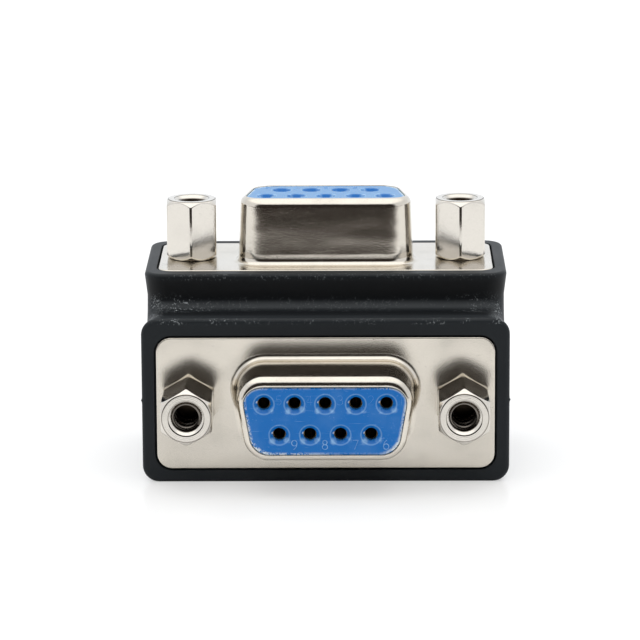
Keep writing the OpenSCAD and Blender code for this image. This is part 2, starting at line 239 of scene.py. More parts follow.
class Field:
    """A number that varies over a surface. Python's operators on it add Math nodes."""

    def __init__(self, graph, socket):
        self.graph = graph
        self.socket = socket

    def __add__(self, other):
        return self.graph.maths("ADD", self, other)

    def __sub__(self, other):
        return self.graph.maths("SUBTRACT", self, other)

    def __mul__(self, other):
        return self.graph.maths("MULTIPLY", self, other)

    def __truediv__(self, other):
        return self.graph.maths("DIVIDE", self, other)

    def __rtruediv__(self, other):
        return self.graph.maths("DIVIDE", other, self)

    def __radd__(self, other):
        return self.graph.maths("ADD", other, self)

    def __rsub__(self, other):
        return self.graph.maths("SUBTRACT", other, self)

    def __rmul__(self, other):
        return self.graph.maths("MULTIPLY", other, self)

    def __abs__(self):
        return self.graph.maths("ABSOLUTE", self)

    def least(self, other):
        return self.graph.maths("MINIMUM", self, other)

    def most(self, other):
        return self.graph.maths("MAXIMUM", self, other)

    def rise(self, low, high):
        """Zero below low, one above high, smooth between. A low above high turns it round."""
        made = self.graph.node("ShaderNodeMapRange", {"interpolation_type": "SMOOTHSTEP"},
                               {"Value": self, "From Min": low, "From Max": high})
        return Field(self.graph, made.outputs["Result"])


def near_line(first, second, at_first, at_second, reach):
    """One on a line along the third axis, falling to zero at reach from it."""
    a = first - at_first
    b = second - at_second
    return (a * a + b * b).rise(reach * reach, 0)


class Finish(Graph):
    """A material with one Principled shader."""

    def __init__(self, name):
        self.material = bpy.data.materials.new(name)
        self.material.use_nodes = True
        super().__init__(self.material.node_tree)
        self.tree.nodes.clear()
        self.shader = self.node("ShaderNodeBsdfPrincipled")
        self.output = self.node("ShaderNodeOutputMaterial", None, {"Surface": self.shader.outputs[0]})
        self.where = self.node("ShaderNodeTexCoord").outputs["Object"]

    def set(self, **sockets):
        """Set or link inputs of the shader, by their names with underscores."""
        for key, value in sockets.items():
            self.feed(self.shader.inputs[key.replace("_", " ")], value)

    def bump(self, height, distance, strength=1.0):
        made = self.node("ShaderNodeBump", None,
                         {"Strength": strength, "Distance": distance, "Height": height})
        self.feed(self.shader.inputs["Normal"], made.outputs["Normal"])


def moulded_black(colours):
    """Black plastic with a fine grain, pale specks along its edges and at its corners, a painted sheen along
    the inner fillet and painted shade in the inner corner.
    """
    paint = Finish("moulded_black")
    x, y, z = paint.parts(paint.where)
    outward = abs(x)
    inner_corner = (WALL_Y, BLOCK)
    brow_edge = (FACE_Y, BLOCK)
    crest_edge = (WALL_Y, TOP_Z)

    def near(place, step_y, step_z, reach):
        """Mask round a line along X, at a step in millimetres from a place."""
        return near_line(y, z, place[0] + step_y * MM, place[1] + step_z * MM, reach * MM)

    grain = paint.noise(paint.where, 5200, 3, 0.6)
    cloud = paint.noise(paint.where, 260, 3, 0.55)
    drift = paint.noise(paint.where, 420, 4, 0.7).rise(0.42, 0.58)
    specks = paint.noise(paint.stretch(paint.where, (0.7, 1, 0.5)), 7200, 3, 0.65).rise(0.55, 0.68) * drift
    fine = paint.noise(paint.where, 7900, 3, 0.65).rise(0.54, 0.66) * (0.35 + drift)
    inner = near(inner_corner, -0.25, 0.3, 1.2) * (0.2 + outward.rise(10 * MM, 14 * MM))
    brow = near(brow_edge, 0.12, -0.12, 0.5) * (0.3 + outward.rise(6 * MM, 14 * MM))
    crest = near(crest_edge, 0.1, -0.1, 0.6)
    neck = near(inner_corner, -0.5, 0.5, 1.5) * outward.rise(13.2 * MM, 16.2 * MM)
    corner = near(brow_edge, 1.5, 0, 1.2) * outward.rise(14.6 * MM, 15.8 * MM)
    paled = (specks * (inner + 1.2 * brow + 0.3 * crest) + fine * (0.8 * neck + 2.5 * corner)).least(1.0)
    # Painted sheen: a faint pale band along the inner fillet, where it catches light
    fillet_sheen = near(inner_corner, -0.22, 0.5, 0.5)
    # Painted shade: the plastic darkened on the wall and on the ledge near the inner corner
    painted_shade_mask = near(inner_corner, 0, 1.9, 1.6).most(0.75 * near(inner_corner, -1.5, 0, 1.3))
    painted_shade_colour = paint.blend(painted_shade_mask, (*colours.body, 1), (*colours.body_painted_shade, 1))
    with_fillet_sheen = paint.blend(0.06 * fillet_sheen * (0.5 + cloud), painted_shade_colour, (*colours.scuff_and_sheen, 1))
    # Pale specks over the painted sheen and the painted shade
    paint.set(Base_Color=paint.blend(paled, with_fillet_sheen, (*colours.scuff_and_sheen, 1)),
              Roughness=0.4 + 0.1 * cloud + 0.16 * paled + 0.06 * grain,
              IOR=1.5, Specular_IOR_Level=0.2)
    paint.bump(grain + 1.4 * cloud + 0.5 * paled, 0.02 * MM, 0.55)
    return paint.material


def plated_nickel(name, tint, colours, sizes, is_post):
    """Bright nickel plate with a pitted grain and faint stains. The sheet is satin on its flange, rippled on
    its drawn wall and a little bowed round the posts. A post has turned marks on its end, painted shade in
    its hole and on its thread, and thin painted dark lines at the edges of its turned end and its
    countersink."""
    paint = Finish(name)
    post_ripple = 2
    wall_ripple = 9
    flange_bow = 33
    flange_satin = 0.085
    x, y, z = paint.parts(paint.where)
    upper = paint.maths("GREATER_THAN", z, BLOCK)
    proud = (FACE_Y - y) * (1 - upper) + (z - TOP_Z) * upper
    across = (z - AXIS_Z) * (1 - upper) + (y - AXIS_Y) * upper
    along = abs(x) - sizes.screw_span / 2
    radius = paint.maths("SQRT", along * along + across * across)
    grain = paint.noise(paint.where, 7000, 3, 0.65)
    cloud = paint.noise(paint.where, 320, 3, 0.5)
    pits = paint.noise(paint.where, 5200, 2, 0.5).rise(0.70, 0.78)
    stain = (0.35 * cloud.rise(0.45, 0.75) + 0.7 * pits + 0.22 * grain.rise(0.42, 0.7)).least(1.0)
    dull = tuple(0.72 * part for part in tint)
    plate = paint.blend(stain, (*tint, 1), (*dull, 1))
    rough = 0.05 + 0.08 * grain + 0.05 * cloud
    wall = proud.rise(0.5 * MM, 1.1 * MM)
    ripple = wall * paint.noise(paint.stretch(paint.where, (0.3, 1, 1)), 420, 1, 0.5)
    height = grain - 0.8 * pits
    if is_post:
        hole = Field(paint, paint.node("ShaderNodeAttribute", {"attribute_name": "hole"}).outputs["Fac"])
        tip = proud.rise(sizes.hex_len - 0.16 * MM, sizes.hex_len - 0.06 * MM)
        turned_lines = paint.maths("SINE", radius / (0.024 * MM))
        turned_edge = abs(radius - (sizes.hex_flats / 2 - sizes.hex_turned)).rise(0.07 * MM, 0.02 * MM)
        tap_edge = abs(radius - sizes.tap_rim).rise(0.06 * MM, 0.01 * MM)
        # Painted shade: the hole and its thread darkened, and thin dark lines at the turned end's edge and
        # the countersink's rim
        plate = paint.blend(hole.most(0.75 * tip * turned_edge.most(tap_edge)), plate, (*colours.painted_hole_shade, 1))
        rough = rough + 0.2 * hole
        height = height + post_ripple * ripple + 0.5 * tip * turned_lines
    else:
        strip = (1 - upper) * abs(x).rise(11.5 * MM, 7.5 * MM) * across.rise(3 * MM, 7.6 * MM)
        dip = radius.rise(5.8 * MM, 1.2 * MM)
        rough = rough + flange_satin * proud.rise(0.3 * MM, 0.05 * MM)
        height = height + wall_ripple * ripple + flange_bow * (strip - dip)
    paint.set(Metallic=1.0, Base_Color=plate, Roughness=rough)
    paint.bump(height, 0.012 * MM, 0.35)
    return paint.material


def socket_distance(paint, u, v, sizes, beside=0.0, above=0.0):
    """Distance from the nearest socket's axis, or from a point beside it, across a connector's face."""
    half = sizes.row_gap / 2
    rows = []
    for offset, level, first in ((0.0, half, -2), (0.5, -half, -1)):
        steps = u / sizes.contact_pitch + offset
        number = paint.maths("ROUND", steps).most(first).least(2)
        along = (steps - number) * sizes.contact_pitch - beside
        across = v - level - above
        rows.append(paint.maths("SQRT", along * along + across * across))
    return rows[0].least(rows[1])


def edge_distance(paint, u, v, sizes):
    """Distance out from the edge of the insulator's face, below zero inside."""
    rise = sizes.shell_h / 2 - sizes.shell_corner
    wide = sizes.shell_w / 2 - sizes.shell_corner
    lean_cos = math.cos(sizes.side_angle)
    lean_sin = math.sin(sizes.side_angle)
    side = abs(u) * lean_cos - v * lean_sin - (wide * lean_cos - rise * lean_sin)
    cap = abs(v) - rise
    a = side.most(0.0)
    b = cap.most(0.0)
    round_part = paint.maths("SQRT", a * a + b * b)
    level = sizes.shell_corner - sizes.wall_lean - sizes.lip_reach
    return round_part + side.most(cap).least(0.0) + sizes.lip_more * v.rise(1.5 * MM, 3 * MM) - level


def blue_insulator(colours, sizes):
    """Blue moulded face with drag lines, flecks and white chips along its edge, and painted highlights round
    its
    sockets: pale rings, pale patches below them and a white glint at each hole.
    """
    paint = Finish("blue_insulator")
    x, y, z = paint.parts(paint.where)
    upper = paint.maths("GREATER_THAN", z, BLOCK)
    v = (z - AXIS_Z) * (1 - upper) + (AXIS_Y - y) * upper
    from_socket = socket_distance(paint, x, v, sizes)
    from_edge = edge_distance(paint, x, v, sizes)
    grain = paint.noise(paint.where, 3600, 3, 0.6)
    cloud = paint.noise(paint.where, 420, 3, 0.5)
    speck = paint.noise(paint.where, 7400, 2, 0.6)
    patch = paint.noise(paint.where, 900, 3, 0.6)
    drag = paint.noise(paint.stretch(paint.where, (1, 22, 22)), 520, 2, 0.6).rise(0.66, 0.72)
    # Painted highlight: a pale ring round each socket at the countersink's outer edge
    ring = from_socket.rise(0.82 * MM, 0.90 * MM) * from_socket.rise(1.02 * MM, 0.94 * MM)
    # Painted highlight: pale patches below each socket, to its left and its right, where the countersink
    # catches light
    left_lit_patch = socket_distance(paint, x, v, sizes, -0.62 * MM, -0.6 * MM)
    right_lit_patch = socket_distance(paint, x, v, sizes, 0.68 * MM, -0.52 * MM)
    pale = left_lit_patch.least(right_lit_patch).rise(0.42 * MM, 0.08 * MM) * patch.rise(0.4, 0.62)
    # Painted glint: a white spot at each hole's upper-left edge
    glint = socket_distance(paint, x, v, sizes, -0.6 * MM, 0.14 * MM).rise(0.15 * MM, 0.06 * MM)
    sides = abs(x).rise(4.5 * MM, 6.5 * MM) + v.rise(-1.9 * MM, -2.7 * MM) * x.rise(2 * MM, -3 * MM)
    share = 0.2 + 0.8 * (sides + 0.35 * v.rise(2.5 * MM, 3.0 * MM))
    chips = from_edge.rise(-0.36 * MM, -0.04 * MM) * (speck + 0.7 * patch).rise(0.76, 0.88) * share
    flecks = speck.rise(0.64, 0.74) * patch.rise(0.46, 0.6)
    # Pale share: painted highlights at the rings and patches, with drag lines, flecks and clouding
    wear_and_highlight = 0.46 * ring + pale * (0.45 + speck) + 0.4 * flecks + 0.3 * drag + 0.08 * cloud.rise(0.45, 0.7)
    wear_and_highlight = wear_and_highlight.least(1.0)
    # Blue, paled by the painted highlights and by the flecks and drag lines
    paled = paint.blend(wear_and_highlight, (*colours.insulator, 1), (*colours.insulator_wear_and_highlight, 1))
    # White of the chips and of the painted glint
    white = chips.most(0.85 * glint).least(1.0)
    paint.set(Base_Color=paint.blend(white, paled, (*colours.chip_and_glint, 1)),
              Roughness=0.14 + 0.08 * grain + 0.1 * wear_and_highlight,
              IOR=1.5, Specular_IOR_Level=0.22, Sheen_Weight=0.4, Sheen_Roughness=0.35,
              Sheen_Tint=(0.28, 0.85, 0.85, 1))
    paint.bump(grain + 0.6 * cloud + 0.6 * drag + 0.8 * chips, 0.012 * MM, 0.4)
    return paint.material


def number_line(colours):
    """Fine raised lines of the moulded numbers, paler than the face: partly wear, partly a painted highlight
    where the raised lines catch light.
    """
    paint = Finish("number_line")
    patch = paint.noise(paint.where, 2400, 3, 0.6)
    wear_and_highlight = patch.rise(0.35, 0.65)
    paint.set(Base_Color=paint.blend(wear_and_highlight, (*colours.number, 1), (*colours.insulator_wear_and_highlight, 1)),
              Roughness=0.35 + 0.1 * patch)
    return paint.material


def plain_metal(name, tint, rough):
    """Small metal parts inside: a slightly uneven finish."""
    paint = Finish(name)
    grain = paint.noise(paint.where, 3000, 2, 0.5)
    dull = tuple(0.7 * part for part in tint)
    paint.set(Metallic=1.0, Base_Color=paint.blend(grain.rise(0.4, 0.7), (*tint, 1), (*dull, 1)),
              Roughness=rough + 0.1 * grain)
    return paint.material


def inner_plastic(colours):
    """Dull moulded block inside the body."""
    paint = Finish("inner_mould")
    grain = paint.noise(paint.where, 1800, 3, 0.6)
    dull = tuple(0.75 * part for part in colours.mould)
    paint.set(Base_Color=paint.blend(grain, (*colours.mould, 1), (*dull, 1)), Roughness=0.5 + 0.15 * grain)
    paint.bump(grain, 0.03 * MM, 0.4)
    return paint.material


# Mesh helpers

def loft(mesh, rings):
    """Join closed rings of points, each with the same count, by quads. Returns the rings' vertices."""
    made = [[mesh.verts.new(point) for point in ring] for ring in rings]
    count = len(made[0])
    for lower, upper in zip(made, made[1:]):
        for i in range(count):
            j = (i + 1) % count
            mesh.faces.new((lower[i], lower[j], upper[j], upper[i]))
    return made


def ring_edges(mesh, ring):
    """Edges of a ring that loft has made."""
    return [mesh.edges.get(pair) for pair in zip(ring, ring[1:] + ring[:1])]


def arc(start, end, steps):
    """Even steps from start to end, both included."""
    return [start + (end - start) * i / steps for i in range(steps + 1)]


def quarter_round(radius, steps):
    """Depth and inset of points over a round edge, from the face to the side."""
    turns = arc(0, math.pi / 2, steps)
    return [(radius * (1 - math.cos(turn)), radius * (1 - math.sin(turn))) for turn in turns]


def add_object(name, data):
    """New object in the scene, at the origin."""
    made = bpy.data.objects.new(name, data)
    bpy.context.scene.collection.objects.link(made)
    return made


def smooth_mesh(data, sharp_degrees):
    """Shade smooth, apart from edges that turn by more than an angle."""
    data.polygons.foreach_set("use_smooth", [True] * len(data.polygons))
    data.set_sharp_from_angle(angle=math.radians(sharp_degrees))


def flatten(data, directions):
    """Shade the planes that face in the given directions flat, so that round edges don't bend their light."""
    facing = [Vector(direction).normalized() for direction in directions]
    for polygon in data.polygons:
        if any(polygon.normal.dot(direction) > SAME_DIRECTION for direction in facing):
            polygon.use_smooth = False


def mesh_from(mesh, name, material, sharp_degrees, planes=()):
    """Finished mesh of the faces built so far, with doubles merged and normals outwards."""
    bmesh.ops.remove_doubles(mesh, verts=mesh.verts, dist=SAME_PLACE)
    bmesh.ops.recalc_face_normals(mesh, faces=mesh.faces)
    data = bpy.data.meshes.new(name)
    mesh.to_mesh(data)
    mesh.free()
    data.materials.append(material)
    smooth_mesh(data, sharp_degrees)
    flatten(data, planes)
    return data


def carry(piece, slot, *nodes):
    """Fix a piece to the part, in place of the nodes that it stands for."""
    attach(piece, "root")
    if nodes:
        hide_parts(*nodes)


def dress(material, *names):
    """Give solids their finish."""
    for name in names:
        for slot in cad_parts[name].material_slots:
            slot.material = material


def evaluated_mesh(source, name):
    """Plain mesh of an object with its modifiers."""
    graph = bpy.context.evaluated_depsgraph_get()
    data = bpy.data.meshes.new_from_object(source.evaluated_get(graph))
    data.name = name
    if not data.polygons:
        raise RuntimeError(name + " came out empty")
    bpy.data.objects.remove(source)
    return data


# Body

def ring_plan():
    """Stations round a rounded rectangle: which side, which end in x, and the place along it."""
    flats = [s / 5 for s in range(-5, 6)]
    turns = arc(0, 90, 9)
    sides = [0.0, 0.08, 0.16, 0.25, 0.34, 0.42, 0.47, 0.487, 0.494, 0.5, 0.506, 0.513, 0.53, 0.58, 0.66,
             0.75, 0.84, 0.92, 1.0]
    plan = [("low", s, 0.0) for s in flats]
    plan += [("low", 1, a) for a in turns[1:]]
    plan += [("side", 1, f) for f in sides[1:-1]]
    plan += [("high", 1, a) for a in reversed(turns)]
    plan += [("high", s, 0.0) for s in reversed(flats[:-1])]
    plan += [("high", -1, a) for a in turns[1:]]
    plan += [("side", -1, f) for f in reversed(sides[1:-1])]
    plan += [("low", -1, a) for a in reversed(turns[1:])]
    return plan


def body_ring(plan, low_at, high_at, half_width, radius, inset, flash=0.0):
    """Points of one ring: low_at and high_at give y and z at a distance in from each long side."""
    points = []
    least_corner = 0.05 * MM
    flash_reach = 0.009
    turned = max(radius - inset, least_corner)
    for side, end, place in plan:
        if side == "side":
            low = low_at(inset + turned)
            high = high_at(inset + turned)
            y, z = low.lerp(high, place)
            x = half_width(y, z) - inset + flash * math.exp(-((place - 0.5) / flash_reach) ** 2)
            points.append((end * x, y, z))
            continue
        turn = math.radians(place)
        depth = inset + turned * (1 - math.cos(turn))
        y, z = low_at(depth) if side == "low" else high_at(depth)
        x = half_width(y, z) - inset - turned * (1 - math.sin(turn))
        points.append((end * x, y, z))
    return points


def outer_point(centre, turn, sizes):
    """Where a ray from the inner corner's centre leaves the outer profile, with the normal there."""
    along = Vector((math.sin(turn), -math.cos(turn)))
    bend = Vector((BACK_Y - sizes.elbow_r, sizes.elbow_r))
    if along.y < 0:
        hit = centre + along * (-centre.y / along.y)
        if hit.x <= bend.x:
            return hit, Vector((0, -1))
    if along.x > 0:
        hit = centre + along * ((BACK_Y - centre.x) / along.x)
        if hit.y >= bend.y:
            return hit, Vector((1, 0))
    gap = centre - bend
    half = gap.dot(along)
    reach = -half + math.sqrt(half * half - gap.dot(gap) + sizes.elbow_r ** 2)
    hit = centre + along * reach
    return hit, (hit - bend).normalized()


def body_stations(sizes):
    """Cross-sections from the front face round the inner corner to the top face. Each has its place and
    outward direction on the outer and on the inner profile, its inset and its corner radius."""
    stations = []
    edge = sizes.edge_r
    neck = sizes.neck_corner
    centre = Vector((WALL_Y - sizes.inner_r, BLOCK + sizes.inner_r))
    front_end = centre.x - FACE_Y
    top_end = TOP_Z - centre.y
    down = Vector((0, -1))
    up = Vector((0, 1))
    backward = Vector((1, 0))
    forward = Vector((-1, 0))
    rounding = quarter_round(edge, 6)
    straight = [(edge + (front_end - edge) * i / 6, 0.0) for i in range(1, 7)]
    for depth, inset in rounding + straight:
        y = FACE_Y + depth
        share = max(depth - edge, 0) / (front_end - edge)
        radius = sizes.front_corner + (neck - sizes.front_corner) * share
        stations.append((Vector((y, 0)), down, Vector((y, BLOCK)), up, inset, radius))
    for turn in arc(0, math.pi / 2, 40)[1:-1]:
        inner = centre + sizes.inner_r * Vector((math.sin(turn), -math.cos(turn)))
        outer, normal = outer_point(centre, turn, sizes)
        stations.append((outer, normal, inner, (centre - inner).normalized(), 0.0, neck))
    straight = [(edge + (top_end - edge) * i / 5, 0.0) for i in range(5, 0, -1)]
    for depth, inset in straight + rounding[::-1]:
        z = TOP_Z - depth
        share = max(depth - edge, 0) / (top_end - edge)
        radius = sizes.top_corner + (neck - sizes.top_corner) * share
        stations.append((Vector((BACK_Y, z)), backward, Vector((WALL_Y, z)), forward, inset, radius))
    return stations


def body_mesh(sizes, material):
    """L-shaped body as one skin of rings, closed by the two seats of the flanges."""
    mesh = bmesh.new()
    plan = ring_plan()
    front_half = body_high.x
    top_half = sizes.top_w / 2
    neck_half = sizes.neck_w / 2
    front_run = WALL_Y - FACE_Y - sizes.inner_r - sizes.edge_r
    top_run = TOP_Z - BLOCK - sizes.inner_r - sizes.edge_r

    def half_width(y, z):
        """Half the body's width, which narrows from each face to the neck."""
        front = min(max((y - FACE_Y - sizes.edge_r) / front_run, 0), 1)
        top = min(max((TOP_Z - z - sizes.edge_r) / top_run, 0), 1)
        return max(front_half + (neck_half - front_half) * front, top_half + (neck_half - top_half) * top)

    # The flash is strong at a few stations behind the front face and a faint, uneven seam elsewhere
    strong_flash = {4: 1.0, 5: 0.9, 6: 0.65, 7: 0.5, 8: 0.3}
    rings = []
    for number, (outer, out_normal, inner, in_normal, inset, radius) in enumerate(body_stations(sizes)):
        flash = sizes.seam * (1 + 0.6 * math.sin(5.3 * number))
        if number in strong_flash:
            flash = sizes.flash * strong_flash[number]
        if inset > 0:
            flash = 0.4 * flash
        rings.append(body_ring(plan, lambda d: outer - out_normal * d, lambda d: inner - in_normal * d,
                               half_width, radius, inset, flash))

    half_w = sizes.flange_w / 2 + sizes.rim_gap
    half_h = sizes.flange_h / 2 + sizes.rim_gap
    corner = sizes.flange_corner + sizes.rim_gap

    def seat_point(face, depth, across):
        """Place in a flange's seat: its depth below the face and its distance across it."""
        if face == "front":
            return Vector((FACE_Y + depth, AXIS_Z + across))
        return Vector((AXIS_Y - across, TOP_Z - depth))

    def seat_ring(face, depth, grow):
        low = -half_h - grow
        high = half_h + grow
        return body_ring(plan, lambda d: seat_point(face, depth, low + d),
                         lambda d: seat_point(face, depth, high - d),
                         lambda y, z: half_w + grow, corner + grow, 0.0)

    seat = quarter_round(sizes.seat_edge, 3) + [(sizes.seat_depth, 0.0)]
    front_seat = [seat_ring("front", depth, grow) for depth, grow in reversed(seat)]
    top_seat = [seat_ring("top", depth, grow) for depth, grow in seat]
    made = loft(mesh, front_seat + rings + top_seat)
    mesh.faces.new(made[0])
    mesh.faces.new(made[-1])
    return mesh_from(mesh, "moulded_body", material, 40, ((0, -1, 0), (0, 1, 0), (0, 0, 1), (0, 0, -1)))


# Connectors

def d_stations(sizes, steps=14):
    """Stations round the D: the corner circle's centre and the outward direction."""
    r = sizes.shell_corner
    lean = math.degrees(sizes.side_angle)
    rise = sizes.shell_h / 2 - r
    wide = sizes.shell_w / 2 - r
    narrow = wide - math.tan(sizes.side_angle) * 2 * rise
    corners = [((narrow, -rise), -90, -lean), ((wide, rise), -lean, 90),
               ((-wide, rise), 90, 180 + lean), ((-narrow, -rise), 180 + lean, 270)]
    stations = []
    for (x, y), start, end in corners:
        for a in arc(math.radians(start), math.radians(end), steps):
            stations.append((x, y, math.cos(a), math.sin(a)))
    return stations


def d_rings(sizes, plain, wide):
    """Rings round the D, with a profile's distance out and height at each. The profile passes from plain to
    wide as the outward direction turns to the D's wide side."""
    rings = []
    for here, there in zip(plain, wide):
        ring = []
        for x, y, dx, dy in d_stations(sizes):
            out, z = Vector(here).lerp(Vector(there), max(dy, 0) ** 2)
            reach = sizes.shell_corner + out
            ring.append((x + reach * dx, y + reach * dy, z))
        rings.append(ring)
    return rings


def drawn_profile(sizes, reach):
    """Section of the drawn wall, from the flange's face over a lip of some reach to the flange's back."""
    depth = sizes.shell_depth
    strip = sizes.flange_strip
    sheet = sizes.sheet
    foot = sizes.base_r
    lip = sizes.lip_r
    top = -sizes.wall_lean
    points = [(foot + strip, 0.0)]
    points += [(foot - foot * math.sin(a), foot - foot * math.cos(a)) for a in arc(0, math.pi / 2, 10)]
    points += [(top * f, foot + (depth - foot - lip) * f) for f in (0.25, 0.5, 0.75)]
    nose = sizes.lip_nose
    turned = math.acos((lip + nose - reach) / (lip - nose))
    inner = lip - sheet
    start = math.acos(min((lip - reach) / inner, 1))
    end_x = (lip - nose) * math.cos(turned)
    end_y = (lip - nose) * math.sin(turned)
    roll = [(lip * math.cos(a), lip * math.sin(a)) for a in arc(0, turned, 12)]
    roll += [(end_x + nose * math.cos(a), end_y + nose * math.sin(a)) for a in arc(turned, math.pi, 4)[1:]]
    roll += [(inner * math.cos(a), inner * math.sin(a)) for a in arc(start, 0, 4)]
    points += [(top - lip + x, depth - lip + y) for x, y in roll]
    outer = foot + sheet
    points += [(foot - outer * math.sin(a), foot - outer * math.cos(a)) for a in arc(math.pi / 2, 0, 8)]
    points.append((foot + strip, -sheet))
    return points


def box_loop(half_w, half_h, radius, steps=10):
    """Rectangle with round corners."""
    points = []
    for side_x, side_y, start in ((1, -1, -90), (1, 1, 0), (-1, 1, 90), (-1, -1, 180)):
        x = side_x * (half_w - radius)
        y = side_y * (half_h - radius)
        for a in arc(math.radians(start), math.radians(start + 90), steps):
            points.append((x + radius * math.cos(a), y + radius * math.sin(a)))
    return points


def circle_loop(x, y, radius, steps):
    """Points round a circle."""
    turns = arc(0, 2 * math.pi, steps)[:-1]
    return [(x + radius * math.cos(turn), y + radius * math.sin(turn)) for turn in turns]


def connector_mesh(mesh, fronts, backs, where, name, material, sharp_degrees):
    """Close a connector's piece between its front rings and between its back rings, and put it in place."""
    for rings, normal in ((fronts, (0, 0, 1)), (backs, (0, 0, -1))):
        edges = [edge for ring in rings for edge in ring_edges(mesh, ring)]
        bmesh.ops.triangle_fill(mesh, edges=edges, use_beauty=True, normal=normal)
    bmesh.ops.transform(mesh, matrix=where, verts=mesh.verts)
    axis = where.to_3x3().col[2]
    return mesh_from(mesh, name, material, sharp_degrees, (axis, -axis))


def shell_mesh(sizes, where, name, material):
    """Drawn shell: the swept wall and its flange, with two holes for the posts."""
    mesh = bmesh.new()
    plain = drawn_profile(sizes, sizes.lip_reach)
    wide = drawn_profile(sizes, sizes.lip_reach + sizes.lip_more)
    wall = loft(mesh, d_rings(sizes, plain, wide))
    rim = []
    for depth, inset in quarter_round(sizes.flange_edge, 4) + [(sizes.sheet, 0.0)]:
        loop = box_loop(sizes.flange_w / 2 - inset, sizes.flange_h / 2 - inset, sizes.flange_corner - inset)
        rim.append([(x, y, -depth) for x, y in loop])
    rim = loft(mesh, rim)
    fronts = [wall[0], rim[0]]
    backs = [wall[-1], rim[-1]]
    for side in (-1, 1):
        loop = circle_loop(side * sizes.screw_span / 2, 0, sizes.stud_r + sizes.stud_room, 40)
        hole = loft(mesh, [[(x, y, z) for x, y in loop] for z in (0.0, -sizes.sheet)])
        fronts.append(hole[0])
        backs.append(hole[-1])
    return connector_mesh(mesh, fronts, backs, where, name, material, 30)


def contact_places(sizes):
    """Centres of the nine sockets, from number one."""
    half = sizes.row_gap / 2
    top = [((2 - i) * sizes.contact_pitch, half) for i in range(5)]
    return top + [((1.5 - i) * sizes.contact_pitch, -half) for i in range(4)]


def insulator_mesh(sizes, where, name, material):
    """Insulator: nose in the lip, body in the shell and flange behind it, with nine countersunk holes."""
    mesh = bmesh.new()
    face = sizes.shell_depth - sizes.face_inset
    shoulder = sizes.shell_depth - sizes.lip_r
    back = FACE_Y - blue_high.y
    nose = -sizes.wall_lean - sizes.lip_reach - sizes.face_gap
    trunk = -sizes.wall_lean - sizes.sheet - sizes.face_gap
    foot = min(blue_high.x - sizes.shell_w / 2, (blue_high.z - blue_low.z - sizes.shell_h) / 2)
    plain = [(nose - inset, face - depth) for depth, inset in quarter_round(sizes.face_edge, 4)]
    plain.append((nose, shoulder))
    wide = [(out - sizes.lip_more - sizes.wide_gap, z) for out, z in plain]
    rest = [(trunk, shoulder), (trunk, -sizes.sheet), (foot, -sizes.sheet), (foot, back)]
    skin = loft(mesh, d_rings(sizes, plain + rest, wide + rest))
    fronts = [skin[0]]
    backs = [skin[-1]]
    rim_round = ((0.05 * MM, 0.0), (0.015 * MM, 0.012 * MM), (-0.02 * MM, 0.04 * MM))
    stop = face - sizes.mouth_depth
    bore = [(sizes.mouth_rim + out, face - depth) for out, depth in rim_round]
    bore += [(sizes.mouth_r, face - sizes.mouth_sink), (sizes.mouth_r, stop), (sizes.pocket_r, stop),
             (sizes.pocket_r, back)]
    for x, y in contact_places(sizes):
        hole = loft(mesh, [[(*point, z) for point in circle_loop(x, y, radius, 32)] for radius, z in bore])
        fronts.append(hole[0])
        backs.append(hole[-1])
    return connector_mesh(mesh, fronts, backs, where, name, material, 35)


# Posts

def hex_loop(flats, radius, steps):
    """Hexagon with a flat to each side in x and rounded corners."""
    reach = (flats / 2 - radius) / math.cos(math.radians(30))
    corners = []
    for k in range(6):
        at = math.radians(30 + 60 * k)
        middle = Vector((reach * math.cos(at), reach * math.sin(at)))
        turned = [at + math.radians(a) for a in (-30, -15, 0, 15, 30)]
        corners.append([middle + radius * Vector((math.cos(a), math.sin(a))) for a in turned])
    points = []
    for corner, following in zip(corners, corners[1:] + corners[:1]):
        points += corner
        points += [corner[-1].lerp(following[0], i / steps) for i in range(1, steps)]
    return points


def post_mesh(sizes, material):
    """One post with its turned ends, countersink, tapped hole and stud, along +Z. An attribute marks its
    hole."""
    mesh = bmesh.new()
    loop = hex_loop(sizes.hex_flats, sizes.hex_round, 10)
    tip = sizes.hex_flats / 2 - sizes.hex_turned
    slope = math.tan(sizes.hex_slope)
    height = sizes.hex_len
    bright = sizes.tap_wall + sizes.tap_bright

    def circle(radius, z):
        return [(*(radius * p.normalized()), z) for p in loop]

    rings = [
        circle(sizes.stud_r, -sizes.stud_len),
        circle(sizes.stud_r, 0.0),
        circle(tip, 0.0),
        [(p.x, p.y, (p.length - tip) * slope) for p in loop],
        [(p.x, p.y, height / 2) for p in loop],
        [(p.x, p.y, height - (p.length - tip) * slope) for p in loop],
        circle(tip, height),
        circle(sizes.tap_rim, height),
        circle(bright, height - sizes.tap_rim + bright),
        circle(sizes.tap_wall, height - sizes.tap_rim + sizes.tap_wall),
        circle(sizes.tap_wall, height - sizes.tap_depth),
    ]
    made = loft(mesh, rings)
    mesh.faces.new(made[0])
    mesh.faces.new(made[-1])
    data = mesh_from(mesh, "post", material, 20)
    # The attribute carries the painted shade of the hole
    hole = data.attributes.new("hole", "FLOAT", "POINT")
    hole_reach = sizes.tap_wall + 0.01 * MM
    for vertex, value in zip(data.vertices, hole.data):
        inside = vertex.co.xy.length < hole_reach and vertex.co.z > 0
        value.value = 1.0 if inside else 0.0
    return data


def tree_with(name, inputs):
    """New geometry tree with named inputs. Returns its graph and the input node."""
    tree = bpy.data.node_groups.new(name, "GeometryNodeTree")
    tree.interface.new_socket(name="Geometry", in_out="INPUT", socket_type="NodeSocketGeometry")
    tree.interface.new_socket(name="Geometry", in_out="OUTPUT", socket_type="NodeSocketGeometry")
    for key, kind in inputs.items():
        tree.interface.new_socket(name=key, in_out="INPUT", socket_type="NodeSocket" + kind)
    graph = Graph(tree)
    return graph, graph.node("NodeGroupInput").outputs


